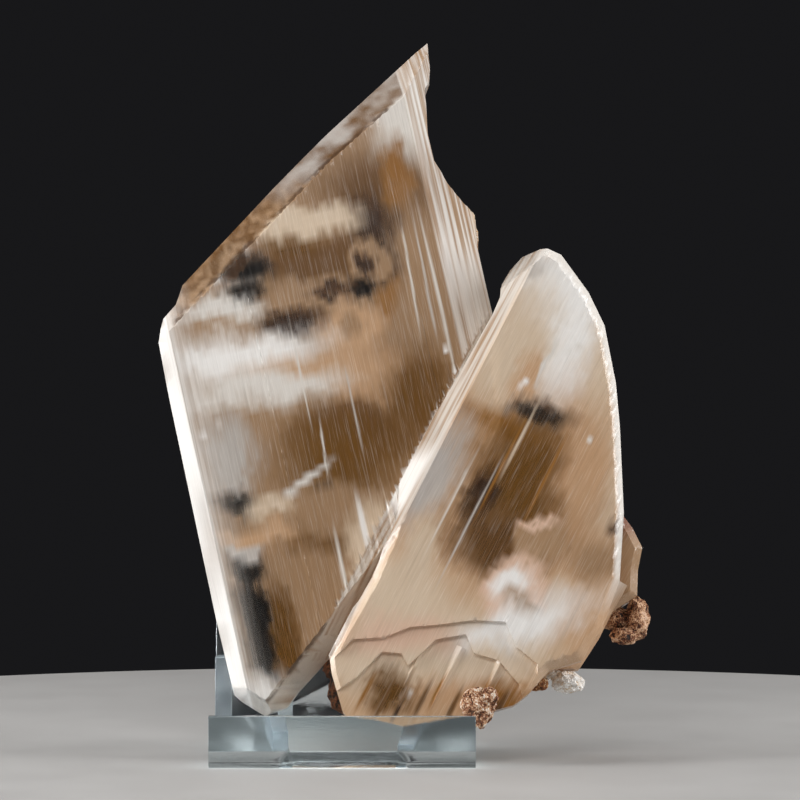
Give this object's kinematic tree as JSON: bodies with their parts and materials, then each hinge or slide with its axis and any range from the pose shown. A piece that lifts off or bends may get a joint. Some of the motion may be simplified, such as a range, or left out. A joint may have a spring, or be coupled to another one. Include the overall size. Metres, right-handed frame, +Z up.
{
  "type": "selenite crystal specimen on a clear stand",
  "caption": "Selenite specimen: a tall slanted blade with a shorter blade grown across its foot and scraps of matrix, leaning back on a clear acrylic easel.",
  "frame": {"origin": "centre of the bounding box at the underside of the stand's floor", "axes": "+Z up, the specimen's tallest way; the front, with the stand's lip, faces -Y; +X to the right as seen from the front"},
  "size_m": [0.1448, 0.074, 0.21],
  "materials": {
    "selenite": "clear to milky gypsum with tan veils and fine growth lines",
    "rusty_matrix": "rough iron-stained mineral crust, matte",
    "white_chalk": "chalky white mineral nodule, matte",
    "clear_acrylic": "clear polished acrylic sheet",
    "sawn_acrylic": "clear acrylic with frosted sawn faces"
  },
  "bodies": {
    "root": {"selenite_blades": "selenite", "matrix_lump_right": "rusty_matrix", "matrix_lump_front": "rusty_matrix", "matrix_lump_back": "rusty_matrix", "rust_crust": "rusty_matrix", "edge_crust": "rusty_matrix", "white_nodule": "white_chalk", "stand_tray": "clear_acrylic", "stand_back_plate": "clear_acrylic", "stand_rib_left": "sawn_acrylic", "stand_rib_right": "sawn_acrylic", "stand_side_left": "sawn_acrylic", "stand_side_right": "sawn_acrylic"}
  },
  "joints": []
}
